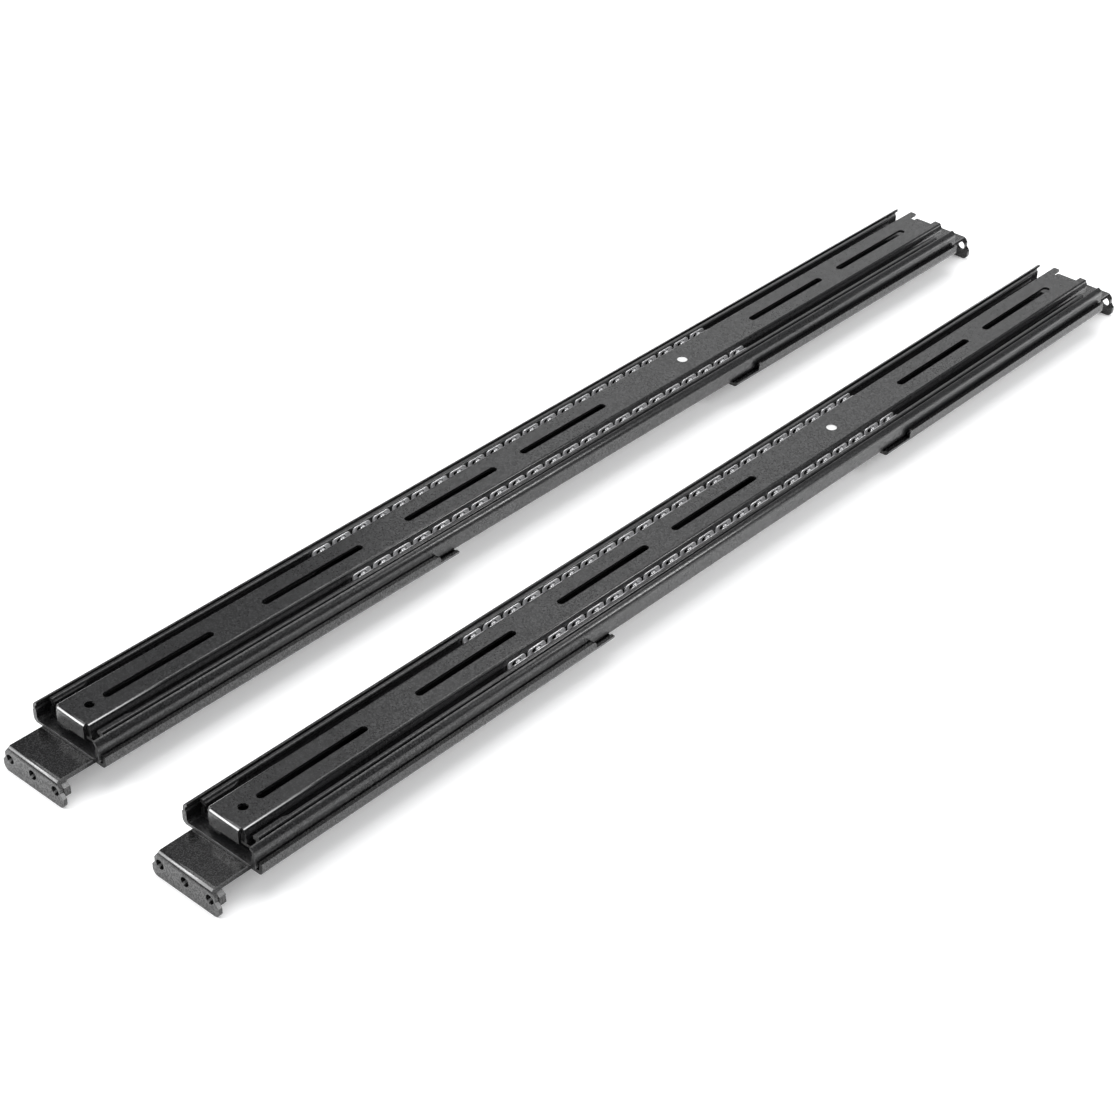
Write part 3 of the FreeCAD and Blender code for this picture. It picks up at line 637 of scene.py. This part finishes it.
# %% [markdown]
# The retainers, rivets and nuts are zinc plated.  Zinc is a bright metal that is never quite a
# mirror: it shows as soft crystals, which a Voronoi pattern gives, thin draw lines along the
# rail, and stains some millimetres wide.  The retainers and the rivet heads are a little chalky,
# so they are not metallic all through.  The balls are lapped steel with a thin film of grease.

# %% Zinc, steel and spring steel
CRYSTAL_SIZE, STAIN_SIZE = 1.6 * MM, 6 * MM
FILM_SIZE, LAP_SIZE = 1.5 * MM, 0.08 * MM


def zinc(name, tone, roughness, metallic=1.0):
    """Plated metal of the given tone, mottled by crystals, draw lines and stains."""
    shader = Shader(name)
    crystals = shader.node("ShaderNodeTexVoronoi", "Distance",
                           {"Vector": shader.place(), "Scale": 1 / CRYSTAL_SIZE})
    drawn = shader.noise(0.5 * MM, 3.0, stretch=(1, 0.08, 1))
    stain = shader.noise(STAIN_SIZE, 2.0)
    share = crystals * 0.25 + drawn * 0.4 + stain * 0.35
    colour = shader.mix(share, tuple(c * 0.72 for c in tone), tone)
    rough = drawn * 0.18 + stain * 0.14 + (roughness - 0.14)
    return shader.finish(
        Base_Color=colour, Metallic=metallic, Roughness=rough,
        Normal=shader.bump(drawn * 0.7 + crystals * 0.3, 0.003 * MM))


def polished(name, tone, roughness):
    """Lapped steel: a film that varies its tone and gloss over a very fine bump."""
    shader = Shader(name)
    film = shader.noise(FILM_SIZE, 3.0)
    lap = shader.noise(LAP_SIZE, 1.0)
    colour = shader.mix(film, tuple(c * 0.86 for c in tone), tone)
    return shader.finish(
        Base_Color=colour, Metallic=0.7, Roughness=film * 0.08 + roughness,
        Normal=shader.bump(lap, 0.0001 * MM))


zinc_strip = zinc("Zinc, retainers", (0.86, 0.86, 0.87), 0.34, metallic=0.78)
zinc_rivet = zinc("Zinc, rivets", (0.95, 0.95, 0.95), 0.45, metallic=0.6)
zinc_nut = zinc("Zinc, nuts", (0.66, 0.66, 0.64), 0.30)
spring = zinc("Spring steel", (0.42, 0.43, 0.45), 0.30)
steel_ball = polished("Ball steel", (0.33, 0.33, 0.335), 0.08)
print("metals made")

# %% [markdown]
# A name such as `left_front_bracket` says which rail a piece is on and what it is.  Its ending
# alone chooses its finish, so both rails are finished alike, the frame's pieces and the new
# ones in the same way.

# %% Finishes given to the pieces
by_ending = {
    "_inner_member": coat_inner, "_middle_member": coat_middle, "_outer_member": coat_outer,
    "_front_bracket": coat_bracket, "_rear_bracket": coat_bracket, "_latch_spring": spring,
    "_retainers": zinc_strip, "_balls": steel_ball, "_rivet": zinc_rivet,
    "_studs": zinc_nut, "_nuts": zinc_nut,
}
given = 0
for piece in bpy.context.scene.objects:
    if piece.type != "MESH":
        continue
    for ending, material in by_ending.items():
        if piece.name.endswith(ending):
            piece.data.materials.clear()
            piece.data.materials.append(material)
            given += 1
print(given, "pieces have a finish")

# %% [markdown]
# ## Table
#
# The rails lie on a pale table that fades into a white background.  A huge flat grid is enough,
# with a little paper fibre in its tone.  The table glows faintly, which keeps the shadows under
# the rails light, and glows more far out, where the lamps no longer reach.

# %% Table
TABLE_REACH = 6.0
TABLE_STEPS = 13
NEAR_GLOW, FAR_GLOW = (0.20, 0.20, 0.20), (0.60, 0.60, 0.60)
GLOW_FROM, GLOW_FADE = 2.6, 2.0

steps = np.linspace(-TABLE_REACH, TABLE_REACH, TABLE_STEPS)
flat = np.zeros((TABLE_STEPS, TABLE_STEPS))
floor_points = np.stack([*np.meshgrid(steps, steps, indexing="ij"), flat], axis=-1)
mesh = bpy.data.meshes.new("table")
mesh.from_pydata(floor_points.reshape(-1, 3).tolist(), [],
                 grid_faces(TABLE_STEPS, TABLE_STEPS).tolist())
table = bpy.data.objects.new("table", mesh)
bpy.context.scene.collection.objects.link(table)

paper = Shader("Table")
fibre = paper.noise(3 * MM, 2.0)
reach = paper.node("ShaderNodeVectorMath", "Value", {0: paper.place()}, operation="LENGTH")
glow = paper.mix(reach.above(GLOW_FROM, GLOW_FADE), NEAR_GLOW, FAR_GLOW)
table.data.materials.append(paper.finish(
    Base_Color=paper.mix(fibre, (0.90, 0.90, 0.90), (0.93, 0.93, 0.93)), Roughness=0.9,
    Specular_IOR_Level=0.1, Emission_Color=glow, Emission_Strength=1.0))
print("table", 2 * TABLE_REACH, "m wide")

# %% [markdown]
# ## World
#
# Black steel shows little but reflections.  If it mirrored a white room, its flat tops would
# turn grey, so the room has three tones.  A Light Path node tells rays apart: the camera sees
# white, glossy faces see a dark grey, and all else is lit by a pale grey.

# %% World
ROOM_LIGHT = (0.55, 0.555, 0.565, 1)
ROOM_IN_GLOSS = (0.21, 0.212, 0.216, 1)
BACKGROUND = (1, 1, 1, 1)

world = bpy.data.worlds.new("Studio")
bpy.context.scene.world = world
world.use_nodes = True
tree = world.node_tree
rays = tree.nodes.new("ShaderNodeLightPath").outputs
colour = ROOM_LIGHT
for ray, shown in (("Is Glossy Ray", ROOM_IN_GLOSS), ("Is Camera Ray", BACKGROUND)):
    blend = tree.nodes.new("ShaderNodeMix")
    blend.data_type = "RGBA"
    tree.links.new(rays[ray], blend.inputs[0])
    if isinstance(colour, tuple):
        blend.inputs[6].default_value = colour
    else:
        tree.links.new(colour, blend.inputs[6])
    blend.inputs[7].default_value = shown
    colour = blend.outputs[2]
tree.links.new(colour, tree.nodes["Background"].inputs["Color"])
print("world of", len(world.node_tree.nodes), "nodes")

# %% [markdown]
# ## Lights
#
# A large soft light hangs overhead and gives the shadows.  Three more stand where the faces and
# rounded edges of the steel mirror them: a wide card behind for the flat tops, one at the front
# left for the flanges, and a small one at the back right for the sides.  Big squares are used
# and not points, because their reflections have soft ends.

# %% Lights
LIGHTS = {                    # place, the point it faces, width in metres and power in watts
    "Overhead": ((-0.35, 0.1, 1.9), (0, 0, 0), 1.9, 27),
    "Back card": ((-0.85, 1.45, 0.85), (0, 0.3, 0), 1.2, 3.5),
    "Front left": ((-0.87, -1.25, 0.97), (0, -0.3, 0), 0.7, 14),
    "Back right": ((0.95, 0.62, 0.86), (0, -0.3, 0), 0.45, 7),
}


def soft_light(name, place, target, width, power):
    """A square area light at place that faces target."""
    data = bpy.data.lights.new(name, "AREA")
    data.shape, data.size, data.energy = "SQUARE", width, power
    light = bpy.data.objects.new(name, data)
    light.location = place
    light.rotation_mode = "QUATERNION"
    light.rotation_quaternion = (Vector(target) - Vector(place)).to_track_quat("-Z", "Y")
    bpy.context.scene.collection.objects.link(light)


for name, settings in LIGHTS.items():
    soft_light(name, *settings)
print(len(LIGHTS), "soft lights")

# %% [markdown]
# ## Camera
#
# The camera looks down along the rails from the front right.  A long lens from over a metre
# away keeps their far ends nearly as wide as the near ones.  Its place is the target plus a
# direction from two angles, times the distance, and a small roll levels the picture.

# %% Camera
AZIMUTH, ELEVATION, ROLL = 41.75, 35.27, 0.71      # degrees
DISTANCE = 1.2315
TARGET = Vector((0.0158, -0.0737, 0.015))
LENS, SENSOR = 80.3, 36.0                          # millimetres

turn, lift = math.radians(AZIMUTH), math.radians(ELEVATION)
back = Vector((math.sin(turn) * math.cos(lift), -math.cos(turn) * math.cos(lift), math.sin(lift)))
data = bpy.data.cameras.new("Camera")
data.lens, data.sensor_width = LENS, SENSOR
data.clip_start, data.clip_end = 0.05, 30
camera = bpy.data.objects.new("Camera", data)
camera.rotation_mode = "QUATERNION"
camera.location = TARGET + back * DISTANCE
level = (-back).to_track_quat("-Z", "Y")
camera.rotation_quaternion = level @ Matrix.Rotation(math.radians(ROLL), 3, "Z").to_quaternion()
bpy.context.scene.collection.objects.link(camera)
bpy.context.scene.camera = camera
bpy.context.scene.view_settings.view_transform = "Standard"
print("camera at", [round(v, 3) for v in camera.location])
